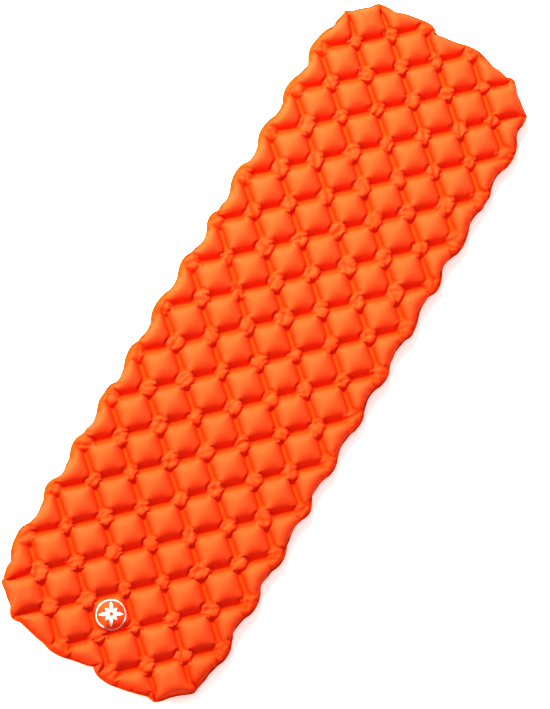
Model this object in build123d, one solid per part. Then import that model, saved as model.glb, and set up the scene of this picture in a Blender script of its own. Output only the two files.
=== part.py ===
from build123d import *
import math
import os

os.makedirs("parts", exist_ok=True)

# ---------------------------------------------------------------- frame
# Millimetres.  Origin on the ground under the middle of the pad, +Z up,
# +Y along the pad towards the head end, +X across the pad.

# ---------------------------------------------------------------- pad
LENGTH = 1900.0          # overall, along Y
WIDTH = 590.0            # overall, along X
HEIGHT = 60.0            # inflated
DU = 133.1               # quilting repeat along the pad
DV = 135.5               # quilting repeat across the pad
MID = HEIGHT / 2.0       # height of the weld plane
T = 0.8                  # laminated fabric thickness
WELD = 8.0               # width of a weld line
KNOT_R = 19.0            # half width of the unwelded puff at a crossing
KNOT_H = 9.0             # rise of that puff
FLANGE = 11.0            # flat rim outside the air chamber, at the crossings
SCALLOP = 9.0            # how far the rim is drawn in between crossings
CORNER_R = 174.0         # plan radius of the pad corners

# ---------------------------------------------------------------- valve
VALVE_U, VALVE_V = 6.5, -1.5          # pillow that carries the valve
VX, VY = VALVE_V * DV, VALVE_U * DU
SEAT_Z = 12.0            # outer face of the fabric at the valve
NECK_R = 19.0            # neck through the fabric
FLG_R, FLG_T = 30.0, 1.0              # weld flange disc
SLEEVE_R, SLEEVE_Z = 21.0, 16.5       # its upstand around the neck
LIP_R, BODY_TOP = 20.2, 17.3          # lip that holds the upstand
COLLAR_R, COLLAR_Z = 23.0, 4.0        # collar radius, height of its outer face
POCKET_R, POCKET_Z = 20.0, 7.0        # pocket for the deflation cap head
BORE_R = 15.0                         # deflation bore
CAP_R, CAP_Z = 19.7, 3.2              # deflation cap head radius, outer face
CAP_UNDER = 6.9                       # underside of the head
STEM_R, STEM_END_R, STEM_TOP = 14.9, 13.85, 14.0   # stem tapers so it can swing out
PORT_R = 7.0                          # inflation port
GASKET = (15.6, 18.6, 6.2, 7.0)       # deflation gasket r, r, z, z
HINGE_Y, HINGE_Z = -26.0, 4.6         # deflation cap hinge, from valve axis
KNUCKLE_R, PIN_R = 2.2, 0.8
LUG_IN, LUG_OUT = 4.0, 7.0            # body lugs, distance from the middle
RUN = 0.05                            # running clearance, radial
DUST_R, DUST_Z, DUST_UNDER = 12.0, 1.0, 3.15       # inflation cap head
PLUG_R, PLUG_END_R, PLUG_TOP = 6.9, 6.1, 8.0
PGASKET = (7.6, 9.8, 2.5, 3.2)        # inflation gasket r, r, z, z
PH_X, PH_Z = 15.4, 1.9                # inflation cap hinge, from valve axis
PK_R, PP_R = 1.25, 0.5
PLUG_LUG_IN, PLUG_LUG_OUT = 3.2, 5.4
FLAP_R, FLAP_T, FLAP_LIFT = 9.5, 0.8, 2.0          # one-way flap
PEG_R, PEG_HEAD_R, PEG_GAP = 1.5, 3.0, 0.1   # gap left under the head at full lift
SPIDER_Z = 11.5

# ---------------------------------------------------------------- badge
BADGE_U, BADGE_V = -6.0, 0.0          # pillow with the printed roundel
BADGE_R = 37.0
BADGE_T = 0.15

PITCH = 1.0 / math.sqrt(1.0 / DV ** 2 + 1.0 / DU ** 2)
UP = Vector(0, 0, 1)
NA = Vector(1 / DV, 1 / DU, 0).normalized()
NB = Vector(-1 / DV, 1 / DU, 0).normalized()


def save(obj, name):
    export_step(obj, "parts/%s.step" % name, write_pcurves=False)


# ======================================================== quilted skins
# Both skins are worked out as a rise above the weld plane (z = 0 here) and
# then placed: the top one as it is, the bottom one turned over.
# Every pillow and puff is a small convex block bounded by flat facets.
HALF = PITCH / 2 - WELD / 2           # half width of a pillow at its welds


def section(half, rise, stops):
    """Half section of a pillow, weld to flat crown, sampled on a circular arc."""
    r = (half * half + (rise - T) ** 2) / (2 * (rise - T))
    zc = rise - r
    pts = [(half, T)] + [(half * s, zc + math.sqrt(r * r - (half * s) ** 2)) for s in stops]
    k = (rise - T) / (pts[-1][1] - T)
    pts = [(x, T + (z - T) * k) for x, z in pts]
    return pts + [(0.0, rise)]


def facets(pts, inset):
    """(outward x, outward z, distance) of each facet, moved in by inset."""
    out = []
    for (x0, z0), (x1, z1) in zip(pts[:-1], pts[1:]):
        l = math.hypot(x1 - x0, z1 - z0)
        nx, nz = (z1 - z0) / l, (x0 - x1) / l
        out.append((nx, nz, nx * x0 + nz * z0 - inset))
    return out


def trim(solid, normal, dist):
    """Keep the side of a plane that its normal points away from."""
    n = Vector(*normal)
    return split(solid, bisect_by=Plane(origin=n * dist, z_dir=n), keep=Keep.BOTTOM)


def pillow(pts, inset, base):
    top = pts[-1][1] - inset
    s = Pos(0, 0, (top + base) / 2) * Box(200, 200, top - base)
    for nx, nz, d in facets(pts, inset)[:-1]:
        for h in (NA, NB, -NA, -NB):
            s = trim(s, (h.X * nx, h.Y * nx, nz), d)
    return s


def envelope(inset, base):
    """Convex slab that rolls the outer pillows down to the rim."""
    cx = WIDTH / 2 - CORNER_R
    cy = LENGTH / 2 - CORNER_R
    top = HEIGHT / 2 - inset
    s = Pos(0, 0, (top + base) / 2) * Box(WIDTH, LENGTH, top - base)
    roll = facets(EDGE, inset)[:-1]
    for k in range(16):
        a = 2 * math.pi * k / 16
        c, n = math.cos(a), math.sin(a)
        reach = cx * abs(c) + cy * abs(n) + CORNER_R - FLANGE - HALF
        for nx, nz, d in roll:
            s = trim(s, (c * nx, n * nx, nz), d + reach * nx)
    return s


PILLOW = section(HALF, HEIGHT / 2, (0.78, 0.38))
EDGE = section(HALF, HEIGHT / 2, (0.78, 0.38))
PUFF = section(KNOT_R, KNOT_H, (0.55,))


def cells():
    out = [(i + 0.5, v) for i in range(-7, 7) for v in (-1.5, -0.5, 0.5, 1.5)]
    out += [(float(i), v) for i in range(-6, 7) for v in (-1.0, 0.0, 1.0)]
    return out


def edge_cells():
    out = [(float(i), v) for i in range(-7, 8) for v in (-2.0, 2.0)]
    out += [(u, v) for u in (-7.0, 7.0) for v in (-1.0, 0.0, 1.0)]
    return out


def crossings():
    out = [(float(i), v) for i in range(-6, 7) for v in (-1.5, -0.5, 0.5, 1.5)]
    out += [(i + 0.5, v) for i in range(-7, 7) for v in (-1.0, 0.0, 1.0)]
    return out


def edge_crossings():
    out = [(u, v) for u in (-7.0, 7.0) for v in (-1.5, -0.5, 0.5, 1.5)]
    out += [(i + 0.5, v) for i in range(-7, 7) for v in (-2.0, 2.0)]
    return out


def quilt(inset, base, like=None):
    """Every pillow and puff of one skin, as separate solids by position."""
    slab = envelope(inset, base)
    one = pillow(PILLOW, inset, base)
    dot = pillow(PUFF, inset, base)
    out = {}
    for shape, spots in ((one, cells() + edge_cells()), (dot, crossings() + edge_crossings())):
        for u, v in spots:
            if like is not None and (u, v) not in like:
                continue
            p = Pos(v * DV, u * DU, 0) * shape
            if abs(u) > 5.2 or abs(v) > 1.2:
                p = p & slab
            found = sorted(p.solids(), key=lambda s: s.volume) if p else []
            if found and found[-1].volume > 0.03 * shape.volume:
                out[u, v] = found[-1]
    return out


def rim_outline():
    """Scalloped edge: full width at the crossings, drawn in between."""
    hx, hy = WIDTH / 2, LENGTH / 2

    def wave(s):
        return SCALLOP * 0.5 * (1 + math.cos(2 * math.pi * s))

    side = [(hx - wave(k / 8.0), k / 8.0 * DU) for k in range(-47, 48)]
    head = [(k / 8.0 * DV, hy - wave(k / 8.0)) for k in range(8, -9, -1)]
    cx, cy = hx - CORNER_R, hy - CORNER_R
    corner = [(cx + CORNER_R * math.cos(math.radians(d)), cy + CORNER_R * math.sin(math.radians(d)))
              for d in (12, 24, 36, 48, 60, 72, 82)]
    pts = side + corner + head + [(-x, y) for x, y in reversed(corner)]
    return pts + [(-x, -y) for x, y in pts]


sheet = extrude(make_face(Polyline(*rim_outline(), close=True)), amount=T)
outer = quilt(0.0, T / 2)
inner = quilt(T, -2.0, outer)
plain = sheet.fuse(*outer.values())

top_skin = plain.cut(*inner.values())
top_skin = Pos(0, 0, MID) * top_skin
save(top_skin, "top_skin")

# underside: the same quilt turned over, one pillow shallower for the valve
seat = MID - SEAT_Z
cell = Pos(VX, VY, 0) * Rot(0, 0, 45) * Box(2 * 47.0, 2 * 47.0, 60)
low_outer = plain - (Pos(0, 0, seat + 30) * cell)
low_inner = dict(inner)
low_inner[VALVE_U, VALVE_V] = inner[VALVE_U, VALVE_V] - (Pos(0, 0, seat - T + 30) * cell)
bottom_skin = low_outer.cut(*low_inner.values(), Pos(VX, VY, seat) * Cylinder(NECK_R, 20))
bottom_skin = Pos(0, 0, MID) * mirror(bottom_skin, about=Plane.XY)
save(bottom_skin, "bottom_skin")

# ======================================================== printed roundel
# a thin film that follows the facets of its pillow
film = pillow(PILLOW, -BADGE_T, T + 4.0) - pillow(PILLOW, 0.0, 0.0)
badge = film & Pos(0, 0, 30) * Cylinder(BADGE_R, 60)
badge = Pos(BADGE_V * DV, BADGE_U * DU, MID) * badge
save(badge, "badge")


# ======================================================== two-stage valve
def ring(r0, r1, z0, z1):
    return Pos(0, 0, (z0 + z1) / 2) * (Cylinder(r1, z1 - z0) - Cylinder(r0, z1 - z0 + 2))


def disc(r, z0, z1):
    return Pos(0, 0, (z0 + z1) / 2) * Cylinder(r, z1 - z0)


def block(x0, x1, y0, y1, z0, z1):
    return Pos((x0 + x1) / 2, (y0 + y1) / 2, (z0 + z1) / 2) * Box(x1 - x0, y1 - y0, z1 - z0)


def rod_x(r, x0, x1, y, z):
    return Pos((x0 + x1) / 2, y, z) * Rot(0, 90, 0) * Cylinder(r, x1 - x0)


def rod_y(r, y0, y1, x, z):
    return Pos(x, (y0 + y1) / 2, z) * Rot(90, 0, 0) * Cylinder(r, y1 - y0)


def place(obj):
    return Pos(VX, VY, 0) * obj


# weld flange, laminated to the inside of the bottom skin
valve_flange = ring(NECK_R, FLG_R, SEAT_Z + T, SEAT_Z + T + FLG_T) + ring(NECK_R, SLEEVE_R, SEAT_Z + T, SLEEVE_Z)
valve_flange = fillet(valve_flange.edges().filter_by(GeomType.CIRCLE).group_by(Axis.Z)[-1].sort_by(SortBy.RADIUS)[-1], 0.6)
save(place(valve_flange), "valve_flange")

# body: collar outside, neck through the fabric, bore through both
body = disc(COLLAR_R, COLLAR_Z, SEAT_Z)
body = fillet(body.edges().filter_by(GeomType.CIRCLE).group_by(Axis.Z)[0], 1.6)
body += disc(NECK_R, SEAT_Z, BODY_TOP) + disc(LIP_R, SLEEVE_Z, BODY_TOP)
for s in (-1, 1):
    x0, x1 = sorted((s * LUG_IN, s * LUG_OUT))
    body += rod_x(KNUCKLE_R, x0, x1, HINGE_Y, HINGE_Z)
    body += block(x0, x1, HINGE_Y, -21.0, COLLAR_Z + 0.4, HINGE_Z + KNUCKLE_R)
body -= disc(POCKET_R, COLLAR_Z - 4, POCKET_Z)
body -= disc(BORE_R, 0, BODY_TOP + 2)
body -= rod_x(PIN_R, -12, 12, HINGE_Y, HINGE_Z)
save(place(body), "valve_body")

# deflation cap: head in the pocket, tapered stem in the bore, port through it
stem = Pos(0, 0, (CAP_UNDER + STEM_TOP) / 2) * Cone(STEM_R, STEM_END_R, STEM_TOP - CAP_UNDER)
head = disc(CAP_R, CAP_Z, CAP_UNDER)
head = fillet(head.edges().filter_by(GeomType.CIRCLE).group_by(Axis.Z)[0], 0.5)
cap = head + stem
arm = block(-LUG_IN + 0.15, LUG_IN - 0.15, HINGE_Y, -17.0, HINGE_Z - KNUCKLE_R, COLLAR_Z - 0.1)
tab = block(-5.5, 5.5, 17.0, 25.5, HINGE_Z - KNUCKLE_R, COLLAR_Z - 0.1)
tab = fillet(tab.edges().filter_by(Axis.Z).group_by(Axis.Y)[-1], 2.5)
cap += arm + tab + rod_x(KNUCKLE_R, -LUG_IN + 0.15, LUG_IN - 0.15, HINGE_Y, HINGE_Z)
for s in (-1, 1):
    y0, y1 = sorted((s * PLUG_LUG_IN, s * PLUG_LUG_OUT))
    cap += rod_y(PK_R, y0, y1, PH_X, PH_Z)
    cap += block(PH_X - PK_R, PH_X + PK_R, y0, y1, PH_Z, CAP_Z + 0.6)
cap -= disc(PORT_R, CAP_Z - 5, STEM_TOP + 1)
spider = block(-PORT_R - 0.5, PORT_R + 0.5, -0.8, 0.8, SPIDER_Z, STEM_TOP)
spider += block(-0.8, 0.8, -PORT_R - 0.5, PORT_R + 0.5, SPIDER_Z, STEM_TOP)
cap += spider + disc(3.0, SPIDER_Z, STEM_TOP)
cap -= disc(PEG_R, SPIDER_Z - 2, STEM_TOP + 1)
cap -= ring(GASKET[0], GASKET[1], GASKET[2], GASKET[3] + 1)
cap -= rod_x(PIN_R + RUN, -12, 12, HINGE_Y, HINGE_Z)
cap -= rod_y(PP_R, -12, 12, PH_X, PH_Z)
save(place(cap), "deflation_cap")

save(place(ring(*GASKET)), "deflation_gasket")
save(place(rod_x(PIN_R, -LUG_OUT, LUG_OUT, HINGE_Y, HINGE_Z)), "deflation_hinge_pin")

# inflation cap: small head with a tapered plug in the port
plug = Pos(0, 0, (DUST_UNDER + PLUG_TOP) / 2) * Cone(PLUG_R, PLUG_END_R, PLUG_TOP - DUST_UNDER)
dust = disc(DUST_R, DUST_Z, DUST_UNDER)
dust = fillet(dust.edges().filter_by(GeomType.CIRCLE).group_by(Axis.Z)[0], 0.5)
dust += plug
dust -= disc(4.6, 4.6, PLUG_TOP + 1)
pa = PLUG_LUG_IN - 0.1
dust += block(9.0, PH_X, -pa, pa, DUST_Z, DUST_UNDER)
ptab = block(-15.2, -9.0, -3.4, 3.4, DUST_Z, 2.5)
ptab = fillet(ptab.edges().filter_by(Axis.Z).group_by(Axis.X)[0], 1.6)
dust += ptab + rod_y(PK_R, -pa, pa, PH_X, PH_Z)
dust -= ring(PGASKET[0], PGASKET[1], PGASKET[2], PGASKET[3] + 1)
dust -= rod_y(PP_R + RUN, -12, 12, PH_X, PH_Z)
save(place(dust), "inflation_cap")

save(place(ring(*PGASKET)), "inflation_gasket")
save(place(rod_y(PP_R, -PLUG_LUG_OUT, PLUG_LUG_OUT, PH_X, PH_Z)), "inflation_hinge_pin")

# one-way flap: loose disc on a headed peg behind the port
save(place(ring(PEG_R + RUN, FLAP_R, STEM_TOP, STEM_TOP + FLAP_T)), "check_flap")
peg_stop = STEM_TOP + FLAP_T + FLAP_LIFT + PEG_GAP
peg = disc(PEG_R, SPIDER_Z, peg_stop) + disc(PEG_HEAD_R, peg_stop, peg_stop + 1.0)
peg += disc(2.4, SPIDER_Z - 0.8, SPIDER_Z)
save(place(peg), "flap_peg")
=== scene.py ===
import math

import bpy
import numpy as np
from mathutils import Matrix, Vector
from mathutils.bvhtree import BVHTree


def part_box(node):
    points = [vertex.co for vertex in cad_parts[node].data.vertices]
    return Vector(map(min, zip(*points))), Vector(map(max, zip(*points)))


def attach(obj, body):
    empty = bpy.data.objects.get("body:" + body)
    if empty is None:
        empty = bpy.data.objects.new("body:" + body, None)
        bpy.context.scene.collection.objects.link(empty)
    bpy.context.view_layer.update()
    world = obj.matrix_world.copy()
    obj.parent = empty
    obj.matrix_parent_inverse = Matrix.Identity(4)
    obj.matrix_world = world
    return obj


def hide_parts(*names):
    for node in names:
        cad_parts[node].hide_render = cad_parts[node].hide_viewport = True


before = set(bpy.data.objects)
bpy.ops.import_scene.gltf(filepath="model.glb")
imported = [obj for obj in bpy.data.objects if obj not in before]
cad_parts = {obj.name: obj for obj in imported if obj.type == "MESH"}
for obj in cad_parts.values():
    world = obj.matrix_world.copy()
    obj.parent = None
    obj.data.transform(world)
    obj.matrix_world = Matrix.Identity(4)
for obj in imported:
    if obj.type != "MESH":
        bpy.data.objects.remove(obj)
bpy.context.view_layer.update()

# ------------------------------------------------------------------ sizes
# Everything in this block is in millimetres, in the frame's own axes.
DV, DU = 135.5, 133.1        # quilting repeat across and along the pad
MID = 30.0                   # height of the weld plane
HALF_W, HALF_L = 290.0, 950.0
SEAT_Z = 12.0                # fabric height at the valve
body_lo, body_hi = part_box("valve_body")
VX, VY = -1.5 * DV, 6.5 * DU
BADGE_X, BADGE_Y, BADGE_R = 0.0, -6.0 * DU, 37.0

f4 = np.float32


# ======================================================== fabric simulation
# Two flat sheets, welded along short dashes and round the rim, are blown up.
# The grid runs along the two weld directions, so every weld and fold line
# lies on mesh edges.
SLACK = 1.13                 # flat cloth over blown-up pad
WELD_LEN, STRIP = 56.0, 8.0  # weld dash, flat
HEM = 6.0                    # welded edge
EAR_X, EAR_Y, SCALLOP = 27.0, 25.0, 4.0
ROUND = 208.0                # flat corner radius
KNOT_LOW, KNOT_TOP = 8.0, 18.0   # height of the crossings' low crowns over the weld plane


class Grid:
    pass


def make_grid(n, slack, weld_len, strip, rad):
    rr = int(math.ceil(2 * 2.40 * n))
    qq = int(math.ceil((7.35 + 2.40) * n))
    g = Grid()
    g.n, g.Q, g.R = n, qq, rr
    q, r = np.broadcast_arrays(np.arange(-qq, qq + 1)[:, None], np.arange(-rr, rr + 1)[None, :])
    g.q, g.r, g.p = q, r, r - q
    x = r / 2 * DV * slack / n
    y = (r - 2 * q) / 2 * DU * slack / n
    g.side = math.hypot(DV, DU) / 2 * slack
    g.h = g.side / n
    hx, hy = 2.0 * DV * slack + EAR_X, 7.0 * DU * slack + EAR_Y
    ax, ay = np.abs(x), np.abs(y)
    dx, dy = ax - (hx - rad), ay - (hy - rad)
    corner = (dx > 0) & (dy > 0)
    far = np.maximum(np.hypot(dx, dy), 1e-6)
    sd = np.where(corner, far - rad, np.maximum(ax - hx, ay - hy))
    # the cut edge is scalloped: it stands out at the weld crossings
    ear = 0.5 * (1 - np.cos(math.pi * 2 * x / (DV * slack)) * np.cos(math.pi * 2 * y / (DU * slack)))
    sd = sd + SCALLOP * (1 - ear ** 3)
    side_x = ax - hx > ay - hy
    gx = np.where(corner, dx / far, np.where(side_x, 1.0, 0.0)) * np.sign(x)
    gy = np.where(corner, dy / far, np.where(side_x, 0.0, 1.0)) * np.sign(y)
    g.ins = sd <= 0.30 * g.h
    near = g.ins & (sd > -0.45 * g.h)
    g.X = np.where(near, x - gx * sd, x)
    g.Y = np.where(near, y - gy * sd, y)
    g.sd = sd
    pp, pq = g.p / n, q / n
    g.dp = (pp - 0.5) - np.round(pp - 0.5)
    g.dq = (pq - 0.5) - np.round(pq - 0.5)
    mp, mq = pp - np.round(pp), pq - np.round(pq)
    half = max(0.5 * strip / g.side, 0.55 / n)
    wl = weld_len / g.side / 2
    # no two dashes stop at quite the same distance from their crossing
    ends = np.random.default_rng(11).uniform(-10.0, 3.0, (2, 2, 80, 80)) / g.side
    wa = wl + ends[0][(mq > 0).astype(int), np.round(pp - 0.5).astype(int) % 80, np.round(pq).astype(int) % 80]
    wb = wl + ends[1][(mp > 0).astype(int), np.round(pq - 0.5).astype(int) % 80, np.round(pp).astype(int) % 80]
    g.weld = (((np.abs(g.dp) <= half + 1e-6) & (np.abs(mq) <= wa)) | ((np.abs(g.dq) <= half + 1e-6) & (np.abs(mp) <= wb))) & g.ins
    g.mer = g.weld | ((sd > -HEM) & g.ins)
    return g


def links(g):
    out = []
    n0, n1 = g.ins.shape
    for a, b in ((0, 1), (1, 1), (1, 0), (1, 2)):
        for c in (0, 1):
            if a == 0:
                k1 = len(range(c, n1 - b, 2))
                s0 = (slice(0, n0), slice(c, c + 2 * (k1 - 1) + 1, 2))
                s1 = (slice(0, n0), slice(c + b, c + b + 2 * (k1 - 1) + 1, 2))
            else:
                k0 = len(range(c, n0 - a, 2))
                s0 = (slice(c, c + 2 * (k0 - 1) + 1, 2), slice(0, n1 - b))
                s1 = (slice(c + a, c + a + 2 * (k0 - 1) + 1, 2), slice(b, n1))
            m = (g.ins[s0] & g.ins[s1]).astype(f4)
            length = np.hypot(g.X[s1] - g.X[s0], g.Y[s1] - g.Y[s0]).astype(f4)
            both = g.mer[s0] & g.mer[s1]
            every = (slice(None), slice(None))
            out.append((every + s0, every + s1, m, length, both, (a, b) in ((1, 0), (1, 2))))
    return out


def blow(g, P, E, iters, press, comp, damp, bend, prev=None, ground=None):
    """Pressure pushes the sheets apart; the cloth doesn't stretch, but it folds."""
    insf = g.ins.astype(f4)
    Pp = P.copy() if prev is None else prev
    inv = f4(press / (4 * g.h * g.h))
    sign = np.array([1, -1], f4)[:, None, None]
    w0 = np.zeros(g.ins.shape, f4)
    w0[:, 1:-1] = g.ins[:, 2:] & g.ins[:, :-2] & g.ins[:, 1:-1]
    w1 = np.zeros(g.ins.shape, f4)
    w1[1:-1, 1:-1] = g.ins[2:, 2:] & g.ins[:-2, :-2] & g.ins[1:-1, 1:-1]
    stiff = []
    for s0, s1, m, length, both, diag in E:
        kt = ((0.35 if diag else 0.5) * m).astype(f4)
        kc = (np.where(both, 0.45, comp * (0.6 if diag else 1.0)) * m).astype(f4)
        stiff.append((kt, kc))
    mer = g.mer
    for _ in range(iters):
        V = (P - Pp) * f4(damp)
        Pp[...] = P
        d1 = np.zeros_like(P)
        d2 = np.zeros_like(P)
        d1[..., :, 1:-1] = P[..., :, 2:] - P[..., :, :-2]
        d2[..., 1:-1, 1:-1] = P[..., 2:, 2:] - P[..., :-2, :-2]
        n = np.empty_like(P)
        n[0] = d2[1] * d1[2] - d2[2] * d1[1]
        n[1] = d2[2] * d1[0] - d2[0] * d1[2]
        n[2] = d2[0] * d1[1] - d2[1] * d1[0]
        P += (V + n * inv * sign) * insf
        M = (P[:, 0] + P[:, 1]) * f4(0.5)
        P[:, 0][:, mer] = M[:, mer]
        P[:, 1][:, mer] = M[:, mer]
        for (s0, s1, m, length, both, diag), (kt, kc) in zip(E, stiff):
            a, b = P[(slice(None),) + s0[1:]], P[(slice(None),) + s1[1:]]
            d = b - a
            l = np.sqrt(d[0] * d[0] + d[1] * d[1] + d[2] * d[2]) + f4(1e-9)
            e = (l - length) / l
            c = d * (e * np.where(e > 0, kt, kc))
            a += c
            b -= c
        if bend > 0:
            P[..., :, 1:-1] += f4(bend) * ((P[..., :, 2:] + P[..., :, :-2]) * f4(0.5) - P[..., :, 1:-1]) * w0[:, 1:-1]
            P[..., 1:-1, 1:-1] += f4(bend) * ((P[..., 2:, 2:] + P[..., :-2, :-2]) * f4(0.5) - P[..., 1:-1, 1:-1]) * w1[1:-1, 1:-1]
        M = (P[:, 0] + P[:, 1]) * f4(0.5)
        P[:, 0][:, mer] = M[:, mer]
        P[:, 1][:, mer] = M[:, mer]
        if ground is not None:
            np.maximum(P[2, 1], f4(ground), out=P[2, 1])
    return P, Pp


def refine(g0, g1, P, shrink):
    k = g0.n / g1.n
    q0 = (np.arange(-g1.Q, g1.Q + 1) * k + g0.Q).clip(0, 2 * g0.Q)
    r0 = (np.arange(-g1.R, g1.R + 1) * k + g0.R).clip(0, 2 * g0.R)
    qa, ra = np.floor(q0).astype(int), np.floor(r0).astype(int)
    qb, rb = np.minimum(qa + 1, 2 * g0.Q), np.minimum(ra + 1, 2 * g0.R)
    fq, fr = (q0 - qa)[:, None], (r0 - ra)[None, :]

    def samp(A):
        return (A[..., qa[:, None], ra] * (1 - fq) * (1 - fr) + A[..., qb[:, None], ra] * fq * (1 - fr)
                + A[..., qa[:, None], rb] * (1 - fq) * fr + A[..., qb[:, None], rb] * fq * fr)

    D = P.copy()
    D[0] -= (g0.X * shrink).astype(f4)
    D[1] -= (g0.Y * shrink).astype(f4)
    W = g0.ins.astype(f4)
    out = (samp(D * W) / np.maximum(samp(W), 1e-6)).astype(f4)
    out[0] += (g1.X * shrink).astype(f4)
    out[1] += (g1.Y * shrink).astype(f4)
    return np.ascontiguousarray(out)


def lattice_scale(g, P, slack):
    pn, qn = g.p / g.n, g.q / g.n
    node = (np.abs(pn - np.round(pn)) < 1e-6) & (np.abs(qn - np.round(qn)) < 1e-6) & g.ins
    node &= (np.abs(g.X) < 1.7 * DV * slack) & (np.abs(g.Y) < 6.2 * DU * slack)
    c = (P[:, 0] + P[:, 1])[:, node] * 0.5
    return np.polyfit(g.X[node], c[0], 1)[0] * slack, np.polyfit(g.Y[node], c[1], 1)[0] * slack


rng = np.random.default_rng(7)
g = make_grid(14, SLACK, WELD_LEN, STRIP, ROUND)
E = links(g)
P = np.zeros((3, 2) + g.ins.shape, f4)
P[0], P[1] = g.X / SLACK, g.Y / SLACK
P[2, 0] = np.abs(rng.normal(0, 2.5, g.ins.shape)) + 0.3
P[2, 1] = -np.abs(rng.normal(0, 2.5, g.ins.shape)) - 0.3
P[:2] += rng.normal(0, 0.08, P[:2].shape).astype(f4)
P, prev = blow(g, P, E, 60, 0.6, 0.3, 0.95, 0.0)
for pr, it in ((0.25, 80), (0.1, 100), (0.05, 80)):
    P, prev = blow(g, P, E, it, pr, 0.15, 0.97, 0.002, prev=prev)
g1 = make_grid(28, SLACK, WELD_LEN, STRIP, ROUND)
P = refine(g, g1, P, 1 / SLACK)
P += rng.normal(0, 0.2, P.shape).astype(f4)
g = g1
E = links(g)
P, prev = blow(g, P, E, 66, 0.12, 0.3, 0.9, 0.0)
P, prev = blow(g, P, E, 90, 0.03, 0.3, 0.9, 0.0, prev=prev)
floor_z = -float(np.percentile(-P[2, 1][g.ins], 99.6)) * 0.96
P, prev = blow(g, P, E, 44, 0.03, 0.3, 0.9, 0.0, prev=prev, ground=floor_z)

# take the mesh-sized ripple out of the folds
deep = g.ins.copy()
deep[1:-1, 1:-1] &= g.ins[:-2, :-2] & g.ins[2:, 2:] & g.ins[1:-1, :-2] & g.ins[1:-1, 2:]
deep &= ~g.mer
for _ in range(1):
    M = P.copy()
    M[..., 1:-1, 1:-1] = (P[..., 1:-1, 2:] + P[..., 1:-1, :-2] + P[..., 2:, 2:] + P[..., :-2, :-2]) * f4(0.25)
    P = np.where(deep, P + f4(0.12) * (M - P), P)

# into the frame: the lattice lands on the CAD's, the pad is 60 mm thick
sx, sy = lattice_scale(g, P, SLACK)
P = P.astype(float)
P[0] /= sx
P[1] /= sy
top = np.percentile(P[2, 0][g.ins], 99.6) * 1.01
low = -P[2, 1][g.ins].min()
P[2, 0] *= MID / top
P[2, 0] = np.where(P[2, 0] > MID - 2, MID - 2 + 2 * np.tanh((P[2, 0] - MID + 2) / 2), P[2, 0])
P[2, 1] *= MID / low
# the little pads at the crossings are slack: low crowns, each with a few creases
knot = np.clip((0.26 - np.hypot(g.dp, g.dq)) / 0.12, 0, 1)
knot = knot * knot * (3 - 2 * knot)
high = np.abs(P[2])
crown = KNOT_LOW + (KNOT_TOP - KNOT_LOW) * np.tanh((high - KNOT_LOW) / (KNOT_TOP - KNOT_LOW))
high = np.where(high > KNOT_LOW, high + (crown - high) * knot, high)
folds = np.random.default_rng(5)
at_p, at_q = np.round(g.p / g.n - 0.5).astype(int) % 80, np.round(g.q / g.n - 0.5).astype(int) % 80
for _ in range(3):
    turn, off, depth = folds.uniform(0, math.pi, (2, 80, 80)), folds.uniform(-9, 9, (2, 80, 80)), folds.uniform(1.3, 4.0, (2, 80, 80))
    for k in (0, 1):
        a = turn[k][at_p, at_q]
        s = (g.dp * np.cos(a) + g.dq * np.sin(a)) * 95.0 - off[k][at_p, at_q]
        dent = depth[k][at_p, at_q] * np.exp(-(s / 3.4) ** 2) * knot
        high[k] -= np.minimum(dent, np.maximum(high[k] - 3.0, 0))
P[2] = np.sign(P[2]) * high
P[2] += MID
merged = g.mer
P[2, 0][merged] += 0.28
P[2, 1][merged] -= 0.28
# the loose cloth next to a weld stays on its own side
middle, tight = (P[2, 0] + P[2, 1]) / 2, (P[2, 0] - P[2, 1] < 0.56) & ~merged
P[2, 0] = np.where(tight, middle + 0.28, P[2, 0])
P[2, 1] = np.where(tight, middle - 0.28, P[2, 1])

# the shallower pillow under the valve: flat where the flange is welded on
rx, ry = P[0, 1] - VX, P[1, 1] - VY
reach = np.maximum(np.abs(rx / DV + ry / DU), np.abs(ry / DU - rx / DV)) * 2
away = np.hypot(rx, ry)
seat = SEAT_Z - 0.05
bed = np.where(P[2, 1] > seat, P[2, 1], seat - 1.2 * (1 - np.exp((P[2, 1] - seat) / 6.0)))
blend = np.clip((away - 31.0) / 11.0, 0, 1)
blend = blend * blend * (3 - 2 * blend)
P[2, 1] = np.where(reach < 0.98, seat + (bed - seat) * blend, P[2, 1])


# ======================================================== mesh from the grid
def grid_faces(ins):
    idx = -np.ones(ins.shape, int)
    idx[ins] = np.arange(ins.sum())
    A, B, C, D = idx[:-1, :-2], idx[:-1, 1:-1], idx[1:, 2:], idx[1:, 1:-1]
    full = (A >= 0) & (B >= 0) & (C >= 0) & (D >= 0)
    quads = np.stack([A, B, C, D], -1)[full]
    tris = []
    for a, b, c, d in ((A, B, C, D), (B, C, D, A), (C, D, A, B), (D, A, B, C)):
        m = (a >= 0) & (b >= 0) & (c >= 0) & (d < 0)
        tris.append(np.stack([a, b, c], -1)[m])
    return quads, np.concatenate(tris)


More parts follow.
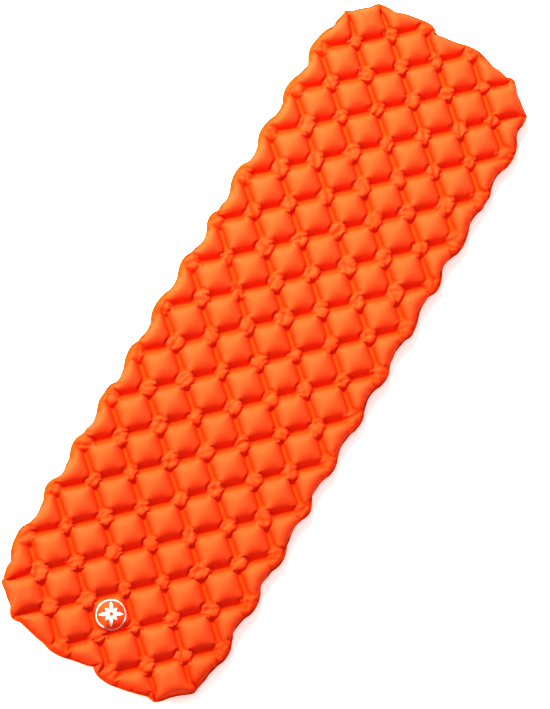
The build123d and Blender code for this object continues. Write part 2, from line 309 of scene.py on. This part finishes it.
def build(name, co, quads, tris, flip, uv):
    used = np.zeros(len(co), bool)
    used[quads.ravel()] = True
    used[tris.ravel()] = True
    remap = np.cumsum(used) - 1
    co, uv = co[used], uv[used]
    quads, tris = remap[quads], remap[tris]
    # close the cut edge down to the middle of the weld
    edges = np.concatenate([quads[:, [0, 1]], quads[:, [1, 2]], quads[:, [2, 3]], quads[:, [3, 0]],
                            tris[:, [0, 1]], tris[:, [1, 2]], tris[:, [2, 0]]])
    key = np.sort(edges, 1)
    code = key[:, 0] * len(co) + key[:, 1]
    _, first, count = np.unique(code, return_index=True, return_counts=True)
    rim = edges[first[count == 1]]
    at_rim = np.hypot(co[rim[:, 0], 0] - VX, co[rim[:, 0], 1] - VY) > 26.0
    rim = rim[at_rim]
    ring = np.unique(rim)
    # the sheets are cut along a smooth line
    nxt, prv = np.arange(len(co)), np.arange(len(co))
    nxt[rim[:, 0]] = rim[:, 1]
    prv[rim[:, 1]] = rim[:, 0]
    for _ in range(6):
        co[ring] = 0.5 * co[ring] + 0.25 * (co[nxt[ring]] + co[prv[ring]])
    # and the rows next to it follow
    pair = key[first]
    share = np.bincount(pair.ravel(), minlength=len(co))
    fixed = np.zeros(len(co), bool)
    fixed[ring] = True
    follow = fixed.copy()
    for _ in range(3):
        hit = follow[pair].any(1)
        follow[pair[hit].ravel()] = True
    follow &= ~fixed
    for _ in range(5):
        mean = np.stack([np.bincount(pair[:, 0], co[pair[:, 1], c], len(co)) + np.bincount(pair[:, 1], co[pair[:, 0], c], len(co)) for c in (0, 1)], 1)
        co[follow, :2] = 0.5 * co[follow, :2] + 0.5 * mean[follow] / share[follow, None]
    new = np.arange(len(ring)) + len(co)
    to_new = -np.ones(len(co), int)
    to_new[ring] = new
    low_co = co[ring].copy()
    low_co[:, 2] += 0.28 if flip else -0.28
    co = np.concatenate([co, low_co])
    uv = np.concatenate([uv, uv[ring]])
    band = np.stack([rim[:, 1], rim[:, 0], to_new[rim[:, 0]], to_new[rim[:, 1]]], -1)
    quads = np.concatenate([quads, band])
    if not flip:
        quads, tris = quads[:, ::-1], tris[:, ::-1]
    loops = np.concatenate([quads.ravel(), tris.ravel()]).astype(np.int32)
    sizes = np.concatenate([np.full(len(quads), 4), np.full(len(tris), 3)]).astype(np.int32)
    starts = np.concatenate([[0], np.cumsum(sizes)[:-1]]).astype(np.int32)
    me = bpy.data.meshes.new(name)
    me.vertices.add(len(co))
    me.vertices.foreach_set("co", (co / 1000).astype(f4).ravel())
    me.loops.add(len(loops))
    me.loops.foreach_set("vertex_index", loops)
    me.polygons.add(len(sizes))
    me.polygons.foreach_set("loop_start", starts)
    me.polygons.foreach_set("use_smooth", np.ones(len(sizes), bool))
    me.update(calc_edges=True)
    me.validate()
    layer = me.uv_layers.new(name="Flat")
    vi = np.zeros(len(me.loops), np.int32)
    me.loops.foreach_get("vertex_index", vi)
    layer.data.foreach_set("uv", (uv[vi] / 1000).astype(f4).ravel())
    obj = bpy.data.objects.new(name, me)
    bpy.context.scene.collection.objects.link(obj)
    return obj, used


quads, tris = grid_faces(g.ins)
flat_uv = np.stack([g.X[g.ins], g.Y[g.ins]], -1)
co_top = P[:, 0][:, g.ins].T
co_bot = P[:, 1][:, g.ins].T

# hole for the valve neck in the lower sheet
d_valve = np.hypot(co_bot[:, 0] - VX, co_bot[:, 1] - VY)
hole = d_valve < 19.6
flatp = ~(hole[quads].any(1))
flatt = ~(hole[tris].any(1))
keep_q, keep_t = quads[flatp], tris[flatt]
edge_v = np.zeros(len(co_bot), bool)
gone = np.concatenate([quads[~flatp].ravel(), tris[~flatt].ravel()])
edge_v[gone] = True
edge_v &= ~hole
near_v = edge_v & (d_valve < 30)
scale = 20.2 / np.maximum(d_valve[near_v], 1e-6)
co_bot[near_v, 0] = VX + (co_bot[near_v, 0] - VX) * scale
co_bot[near_v, 1] = VY + (co_bot[near_v, 1] - VY) * scale

top_skin, used_top = build("top_skin_fabric", co_top, quads, tris, False, flat_uv)
bottom_skin, used_bot = build("bottom_skin_fabric", co_bot, keep_q, keep_t, True, flat_uv)


def add_attr(obj, name, used, values):
    me = obj.data
    n = len(me.vertices)
    v = np.zeros(n, f4)
    core = values[used].astype(f4)
    v[:len(core)] = core
    if n > len(core):
        v[len(core):] = 1.0 if name == "weld" else 0.0
    a = me.attributes.new(name, "FLOAT", "POINT")
    a.data.foreach_set("value", v)


def soften(mask, passes):
    w = mask.astype(f4)
    for _ in range(passes):
        w[1:-1, 1:-1] = (w[1:-1, 1:-1] * 2 + w[2:, 2:] + w[:-2, :-2] + w[1:-1, 2:] + w[1:-1, :-2]) / 6
    return w


weld_v = soften(g.mer, 1)[g.ins]
for obj, used, k in ((top_skin, used_top, 0), (bottom_skin, used_bot, 1)):
    add_attr(obj, "weld", used, weld_v)
    # rise, the height over the weld plane, sets where the cloth material paints shade into the grooves
    rise = np.clip(np.abs(P[2, k][g.ins] - MID) / MID, 0, 1)
    add_attr(obj, "rise", used, rise)

for obj, node, slot_name in ((top_skin, "top_skin", "shell_top"), (bottom_skin, "bottom_skin", "shell_bottom")):
    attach(obj, "body")
    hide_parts(node)

# ======================================================== printed roundel
bvh = BVHTree.FromPolygons([Vector(c / 1000) for c in co_top], [tuple(int(i) for i in f) for f in quads if
                           abs(co_top[f[0], 0] - BADGE_X) < 60 and abs(co_top[f[0], 1] - BADGE_Y) < 60])


def on_top(x, y, lift):
    hit, nrm, _, _ = bvh.ray_cast(Vector((x / 1000, y / 1000, 0.2)), Vector((0, 0, -1)))
    if hit is None:
        return (x / 1000, y / 1000, (MID + 20) / 1000)
    if nrm.z < 0:
        nrm = -nrm
    p = hit + nrm * (lift / 1000)
    return tuple(p)


def print_band(inner, outer, rings, segs, verts, faces):
    """Printed band between two outlines given as radius by angle."""
    base = len(verts)
    for i in range(rings + 1):
        for s in range(segs):
            a = 2 * math.pi * s / segs
            r0, r1 = inner(a), outer(a)
            r = r0 + (r1 - r0) * i / rings
            verts.append(on_top(BADGE_X + r * math.cos(a + PRINT_TURN), BADGE_Y + r * math.sin(a + PRINT_TURN), 0.30))
    for i in range(rings):
        for s in range(segs):
            a, b = base + i * segs + s, base + i * segs + (s + 1) % segs
            faces.append((a, a + segs, b + segs, b))


def star(a):
    """Outline of a four-armed star with short rays between the arms."""
    k = a / (math.pi / 8)
    i = int(k)
    radii = [31.0, 11.5, 21.0, 11.5] * 4 + [31.0]
    return radii[i % 16] + (radii[i % 16 + 1] - radii[i % 16]) * (k - i)


PRINT_TURN = math.radians(121.2)
bv, bf = [], []
print_band(lambda a: 33.6, lambda a: BADGE_R, 3, 160, bv, bf)
print_band(lambda a: 4.5, star, 14, 160, bv, bf)
bme = bpy.data.meshes.new("printed_roundel")
bme.from_pydata(bv, [], bf)
bme.polygons.foreach_set("use_smooth", np.ones(len(bme.polygons), bool))
bme.update()
badge = bpy.data.objects.new("printed_roundel", bme)
bpy.context.scene.collection.objects.link(badge)
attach(badge, "body")
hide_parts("badge")


# ======================================================== materials
def new_mat(name):
    m = bpy.data.materials.new(name)
    m.use_nodes = True
    nt = m.node_tree
    for n in list(nt.nodes):
        nt.nodes.remove(n)
    out = nt.nodes.new("ShaderNodeOutputMaterial")
    bs = nt.nodes.new("ShaderNodeBsdfPrincipled")
    nt.links.new(bs.outputs["BSDF"], out.inputs["Surface"])
    return m, nt, bs


def node(nt, kind, **kw):
    n = nt.nodes.new(kind)
    for k, v in kw.items():
        if k in n.inputs:
            n.inputs[k].default_value = v
        else:
            setattr(n, k, v)
    return n


def math_node(nt, op, a, b=None, clamp=False):
    n = nt.nodes.new("ShaderNodeMath")
    n.operation = op
    n.use_clamp = clamp
    for i, v in enumerate((a, b)):
        if v is None:
            continue
        if isinstance(v, (int, float)):
            n.inputs[i].default_value = v
        else:
            nt.links.new(v, n.inputs[i])
    return n.outputs[0]


def mix_col(nt, fac, a, b, blend="MIX"):
    n = nt.nodes.new("ShaderNodeMix")
    n.data_type = "RGBA"
    n.blend_type = blend
    for i, v in ((0, fac), (6, a), (7, b)):
        if isinstance(v, (int, float)):
            n.inputs[i].default_value = v
        elif isinstance(v, tuple):
            n.inputs[i].default_value = v
        else:
            nt.links.new(v, n.inputs[i])
    return n.outputs[2]


def smooth(nt, value, lo, hi):
    n = nt.nodes.new("ShaderNodeMapRange")
    n.interpolation_type = "SMOOTHSTEP"
    nt.links.new(value, n.inputs["Value"])
    n.inputs["From Min"].default_value = lo
    n.inputs["From Max"].default_value = hi
    return n.outputs["Result"]


def fabric(name, lit, deep, foot):
    m, nt, bs = new_mat(name)
    uv = node(nt, "ShaderNodeUVMap", uv_map="Flat")
    pos = node(nt, "ShaderNodeTexCoord").outputs["Object"]
    sep = nt.nodes.new("ShaderNodeSeparateXYZ")
    nt.links.new(uv.outputs["UV"], sep.inputs[0])
    weld = node(nt, "ShaderNodeAttribute", attribute_name="weld").outputs["Fac"]
    rise = node(nt, "ShaderNodeAttribute", attribute_name="rise").outputs["Fac"]
    # colour: painted shade makes the low cloth in the grooves a deeper red, the foot end slightly deeper, soft
    # blotches
    big = node(nt, "ShaderNodeTexNoise", Scale=5.0, Detail=3.0)
    nt.links.new(pos, big.inputs["Vector"])
    small = node(nt, "ShaderNodeTexNoise", Scale=70.0, Detail=4.0)
    nt.links.new(pos, small.inputs["Vector"])
    # painted shade: cloth near the weld plane takes the deep red colour in place of the shade that falls in the
    # grooves
    groove_shade = smooth(nt, rise, 0.0, 0.75)
    col = mix_col(nt, groove_shade, deep, lit)
    col = mix_col(nt, math_node(nt, "MULTIPLY", weld, 0.55), col, (0.54, 0.115, 0.018, 1))
    psep = nt.nodes.new("ShaderNodeSeparateXYZ")
    nt.links.new(pos, psep.inputs[0])
    along = smooth(nt, psep.outputs["Y"], -0.95, 0.35)
    col = mix_col(nt, along, mix_col(nt, 0.55, col, foot, "MULTIPLY"), col)
    tone = math_node(nt, "MULTIPLY_ADD", big.outputs["Fac"], 0.16)
    tone_n = tone.node
    tone_n.inputs[2].default_value = 0.92
    grey = nt.nodes.new("ShaderNodeCombineColor")
    for i in range(3):
        nt.links.new(tone, grey.inputs[i])
    col = mix_col(nt, 1.0, col, grey.outputs[0], "MULTIPLY")
    # weave: plain 0.35 mm threads with a heavier yarn every 5 mm
    su = math_node(nt, "SINE", math_node(nt, "MULTIPLY", sep.outputs[0], 2 * math.pi / 0.0009))
    sv = math_node(nt, "SINE", math_node(nt, "MULTIPLY", sep.outputs[1], 2 * math.pi / 0.0009))
    thread = math_node(nt, "MULTIPLY", su, sv)

    def rip(coord):
        f = math_node(nt, "PINGPONG", coord, 0.0025)
        return smooth(nt, f, 0.00035, 0.0)

    ripn = math_node(nt, "MAXIMUM", rip(sep.outputs[0]), rip(sep.outputs[1]))
    col = mix_col(nt, math_node(nt, "MULTIPLY", ripn, 0.10), col, (1.0, 0.30, 0.08, 1))
    nt.links.new(col, bs.inputs["Base Color"])
    # pressed texture of the welds
    kn = node(nt, "ShaderNodeTexVoronoi", Scale=620.0)
    nt.links.new(uv.outputs["UV"], kn.inputs["Vector"])
    knurl = math_node(nt, "MULTIPLY", kn.outputs["Distance"], weld)
    h = math_node(nt, "ADD", math_node(nt, "MULTIPLY", thread, 0.25), math_node(nt, "MULTIPLY", ripn, 0.6))
    h = math_node(nt, "ADD", h, math_node(nt, "MULTIPLY", knurl, 0.8))
    h = math_node(nt, "ADD", h, math_node(nt, "MULTIPLY", small.outputs["Fac"], 1.1))
    bump = node(nt, "ShaderNodeBump", Strength=0.30, Distance=0.0004)
    nt.links.new(h, bump.inputs["Height"])
    nt.links.new(bump.outputs["Normal"], bs.inputs["Normal"])
    rough = math_node(nt, "ADD", math_node(nt, "MULTIPLY", small.outputs["Fac"], 0.10), 0.60)
    rough = math_node(nt, "ADD", rough, math_node(nt, "MULTIPLY", weld, 0.10))
    nt.links.new(rough, bs.inputs["Roughness"])
    shine = math_node(nt, "SUBTRACT", 0.24, math_node(nt, "MULTIPLY", weld, 0.16))
    nt.links.new(shine, bs.inputs["Specular IOR Level"])
    bs.inputs["Specular Tint"].default_value = (1.0, 0.65, 0.42, 1)
    bs.inputs["Sheen Weight"].default_value = 0.05
    bs.inputs["Sheen Roughness"].default_value = 0.5
    bs.inputs["Sheen Tint"].default_value = (1.0, 0.30, 0.08, 1)
    # painted glow: a red emission on all the cloth lifts the shaded folds to red, standing in for light that comes
    # through the thin cloth
    bs.inputs["Emission Color"].default_value = (1.0, 0.035, 0.0, 1)
    bs.inputs["Emission Strength"].default_value = 0.24
    return m


def moulded(name, color, rough, grain=900.0, wear=(0.30, 0.30, 0.31, 1)):
    m, nt, bs = new_mat(name)
    pos = node(nt, "ShaderNodeTexCoord").outputs["Object"]
    fine = node(nt, "ShaderNodeTexNoise", Scale=grain, Detail=3.0)
    broad = node(nt, "ShaderNodeTexNoise", Scale=60.0, Detail=4.0)
    for n in (fine, broad):
        nt.links.new(pos, n.inputs["Vector"])
    # small rounded edges, a little paler where they are handled
    geo = nt.nodes.new("ShaderNodeNewGeometry")
    bevel = nt.nodes.new("ShaderNodeBevel")
    bevel.samples = 4
    bevel.inputs["Radius"].default_value = 0.0004
    same = nt.nodes.new("ShaderNodeVectorMath")
    same.operation = "DOT_PRODUCT"
    nt.links.new(bevel.outputs["Normal"], same.inputs[0])
    nt.links.new(geo.outputs["Normal"], same.inputs[1])
    edge = smooth(nt, same.outputs["Value"], 0.98, 0.80)
    col = mix_col(nt, math_node(nt, "MULTIPLY", broad.outputs["Fac"], 0.35), color, tuple(min(1.0, c * 1.5 + 0.01) for c in color[:3]) + (1,))
    col = mix_col(nt, math_node(nt, "MULTIPLY", edge, 0.35), col, wear)
    nt.links.new(col, bs.inputs["Base Color"])
    r = math_node(nt, "ADD", math_node(nt, "MULTIPLY", broad.outputs["Fac"], 0.18), rough - 0.09)
    nt.links.new(r, bs.inputs["Roughness"])
    bs.inputs["Specular IOR Level"].default_value = 0.30
    bump = node(nt, "ShaderNodeBump", Strength=0.25, Distance=0.00012)
    nt.links.new(bevel.outputs["Normal"], bump.inputs["Normal"])
    nt.links.new(fine.outputs["Fac"], bump.inputs["Height"])
    nt.links.new(bump.outputs["Normal"], bs.inputs["Normal"])
    return m


def drawn_metal(name):
    m, nt, bs = new_mat(name)
    pos = node(nt, "ShaderNodeTexCoord").outputs["Object"]
    mp = node(nt, "ShaderNodeMapping", Scale=(60.0, 2500.0, 2500.0))
    nt.links.new(pos, mp.inputs["Vector"])
    n = node(nt, "ShaderNodeTexNoise", Scale=1.0, Detail=2.0)
    nt.links.new(mp.outputs[0], n.inputs["Vector"])
    nt.links.new(mix_col(nt, n.outputs["Fac"], (0.50, 0.50, 0.52, 1), (0.68, 0.68, 0.69, 1)), bs.inputs["Base Color"])
    nt.links.new(math_node(nt, "ADD", math_node(nt, "MULTIPLY", n.outputs["Fac"], 0.2), 0.22), bs.inputs["Roughness"])
    bs.inputs["Metallic"].default_value = 1.0
    return m


def silicone(name, color, trans):
    m, nt, bs = new_mat(name)
    pos = node(nt, "ShaderNodeTexCoord").outputs["Object"]
    n = node(nt, "ShaderNodeTexNoise", Scale=240.0, Detail=3.0)
    nt.links.new(pos, n.inputs["Vector"])
    nt.links.new(mix_col(nt, n.outputs["Fac"], color, tuple(c * 0.9 for c in color[:3]) + (1,)), bs.inputs["Base Color"])
    nt.links.new(math_node(nt, "ADD", math_node(nt, "MULTIPLY", n.outputs["Fac"], 0.15), 0.33), bs.inputs["Roughness"])
    bs.inputs["Subsurface Weight"].default_value = trans
    bs.inputs["Subsurface Radius"].default_value = (0.004, 0.003, 0.003)
    bs.inputs["Subsurface Scale"].default_value = 0.4
    bump = node(nt, "ShaderNodeBump", Strength=0.1, Distance=0.0001)
    nt.links.new(n.outputs["Fac"], bump.inputs["Height"])
    nt.links.new(bump.outputs["Normal"], bs.inputs["Normal"])
    return m


def printed(name):
    m, nt, bs = new_mat(name)
    pos = node(nt, "ShaderNodeTexCoord").outputs["Object"]
    n = node(nt, "ShaderNodeTexNoise", Scale=420.0, Detail=4.0)
    nt.links.new(pos, n.inputs["Vector"])
    b = node(nt, "ShaderNodeTexNoise", Scale=40.0, Detail=2.0)
    nt.links.new(pos, b.inputs["Vector"])
    nt.links.new(mix_col(nt, smooth(nt, n.outputs["Fac"], 0.60, 0.78), (0.52, 0.50, 0.515, 1), (0.52, 0.34, 0.28, 1)), bs.inputs["Base Color"])
    nt.links.new(math_node(nt, "ADD", math_node(nt, "MULTIPLY", b.outputs["Fac"], 0.2), 0.38), bs.inputs["Roughness"])
    bump = node(nt, "ShaderNodeBump", Strength=0.2, Distance=0.0001)
    nt.links.new(n.outputs["Fac"], bump.inputs["Height"])
    nt.links.new(bump.outputs["Normal"], bs.inputs["Normal"])
    return m


def paint(obj, mat):
    obj.data.materials.clear()
    obj.data.materials.append(mat)


# each cloth gets a lit colour, a deep red painted-shade colour for its grooves, and a tint for the foot end
paint(top_skin, fabric("coated_nylon_top", (0.48, 0.088, 0.029, 1), (0.47, 0.052, 0.002, 1), (0.86, 0.90, 0.88, 1)))
paint(bottom_skin, fabric("coated_nylon_bottom", (0.47, 0.084, 0.026, 1), (0.46, 0.050, 0.002, 1), (0.86, 0.90, 0.88, 1)))
paint(badge, printed("screen_print"))
plastic = moulded("valve_plastic", (0.060, 0.060, 0.064, 1), 0.58)
cap_plastic = moulded("cap_plastic", (0.080, 0.080, 0.085, 1), 0.55, 1200.0)
rubber = silicone("clear_silicone", (0.30, 0.295, 0.285, 1), 0.35)
tpu = silicone("tpu", (0.31, 0.285, 0.245, 1), 0.25)
steel = drawn_metal("pin_wire")
for n, mat in (("valve_flange", tpu), ("valve_body", plastic), ("deflation_cap", cap_plastic), ("inflation_cap", cap_plastic),
               ("flap_peg", plastic), ("check_flap", rubber), ("deflation_gasket", rubber), ("inflation_gasket", rubber),
               ("deflation_hinge_pin", steel), ("inflation_hinge_pin", steel)):
    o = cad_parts[n]
    for i in range(max(1, len(o.material_slots))):
        if not o.material_slots:
            o.data.materials.append(mat)
        else:
            o.material_slots[i].material = mat

# ======================================================== stage
fm = bpy.data.meshes.new("floor")
fm.from_pydata([(-9, -9, 0), (9, -9, 0), (9, 9, 0), (-9, 9, 0)], [], [(0, 1, 2, 3)])
floor = bpy.data.objects.new("floor", fm)
floor.location = (0, 0, -0.0004)
bpy.context.scene.collection.objects.link(floor)
m, nt, bs = new_mat("pale_floor")
fn = node(nt, "ShaderNodeTexNoise", Scale=3.0, Detail=3.0)
nt.links.new(node(nt, "ShaderNodeTexCoord").outputs["Object"], fn.inputs["Vector"])
nt.links.new(mix_col(nt, fn.outputs["Fac"], (0.82, 0.82, 0.82, 1), (0.835, 0.832, 0.83, 1)), bs.inputs["Base Color"])
bs.inputs["Roughness"].default_value = 0.8
bs.inputs["Emission Color"].default_value = (1, 1, 1, 1)
bs.inputs["Emission Strength"].default_value = 0.42
# the floor is glass-clear to a camera that looks from under it
eye = nt.nodes.new("ShaderNodeVectorTransform")
eye.vector_type, eye.convert_from, eye.convert_to = "POINT", "CAMERA", "WORLD"
eye.inputs[0].default_value = (0, 0, 0)
esep = nt.nodes.new("ShaderNodeSeparateXYZ")
nt.links.new(eye.outputs[0], esep.inputs[0])
clear = nt.nodes.new("ShaderNodeBsdfTransparent")
pick = nt.nodes.new("ShaderNodeMixShader")
nt.links.new(math_node(nt, "LESS_THAN", esep.outputs["Z"], 0.0), pick.inputs[0])
nt.links.new(bs.outputs[0], pick.inputs[1])
nt.links.new(clear.outputs[0], pick.inputs[2])
nt.links.new(pick.outputs[0], [n for n in nt.nodes if n.type == "OUTPUT_MATERIAL"][0].inputs["Surface"])
paint(floor, m)

# camera: over the foot end, looking steeply down, rolled so the pad runs up to the right
RT = ((0.8640436, 0.4880407, 0.1234708), (0.5032715, -0.8315134, -0.2351665), (-0.0121032, 0.2653335, -0.9640807))
EYE = (0.1120056, -1.9659587, 7.0806461)
cam = bpy.data.cameras.new("camera")
cam.sensor_width = 36.0
cam.lens = 2942.0 / 709.0 * 36.0
cam.clip_start, cam.clip_end = 0.05, 60
camera = bpy.data.objects.new("camera", cam)
bpy.context.scene.collection.objects.link(camera)
camera.matrix_world = Matrix((
    (RT[0][0], -RT[1][0], -RT[2][0], EYE[0]),
    (RT[0][1], -RT[1][1], -RT[2][1], EYE[1]),
    (RT[0][2], -RT[1][2], -RT[2][2], EYE[2]),
    (0, 0, 0, 1)))
bpy.context.scene.camera = camera

up = Vector((-RT[1][0], -RT[1][1], 0)).normalized()
right = Vector((RT[0][0], RT[0][1], 0)).normalized()


def softbox(name, pos, size, power, color=(1, 1, 1)):
    l = bpy.data.lights.new(name, "AREA")
    l.shape = "SQUARE"
    l.size = size
    l.energy = power
    l.color = color
    o = bpy.data.objects.new(name, l)
    o.location = pos
    o.rotation_euler = (-Vector(pos)).to_track_quat("-Z", "Y").to_euler()
    bpy.context.scene.collection.objects.link(o)


softbox("key", up * 4.7 - right * 2.6 + Vector((0, 0, 5.7)), 2.6, 1950)
softbox("side", up * 0.4 - right * 6.0 + Vector((0, 0, 2.8)), 2.4, 420, (1.0, 0.90, 0.66))
softbox("under", Vector((-2.6, 3.0, -5.2)), 2.4, 1100)
world = bpy.data.worlds.new("studio")
bpy.context.scene.world = world
world.use_nodes = True
sky = world.node_tree.nodes["Background"]
sky.inputs[0].default_value = (1, 1, 1, 1)
# the camera sees a white backdrop, the pad is lit by a softer one
seen = world.node_tree.nodes.new("ShaderNodeLightPath").outputs["Is Camera Ray"]
world.node_tree.links.new(math_node(world.node_tree, "ADD", math_node(world.node_tree, "MULTIPLY", seen, 0.15), 0.80), sky.inputs[1])
view = bpy.context.scene.view_settings
view.view_transform = "Standard"
view.look = "None"
view.gamma = 0.6             # contrasty studio print
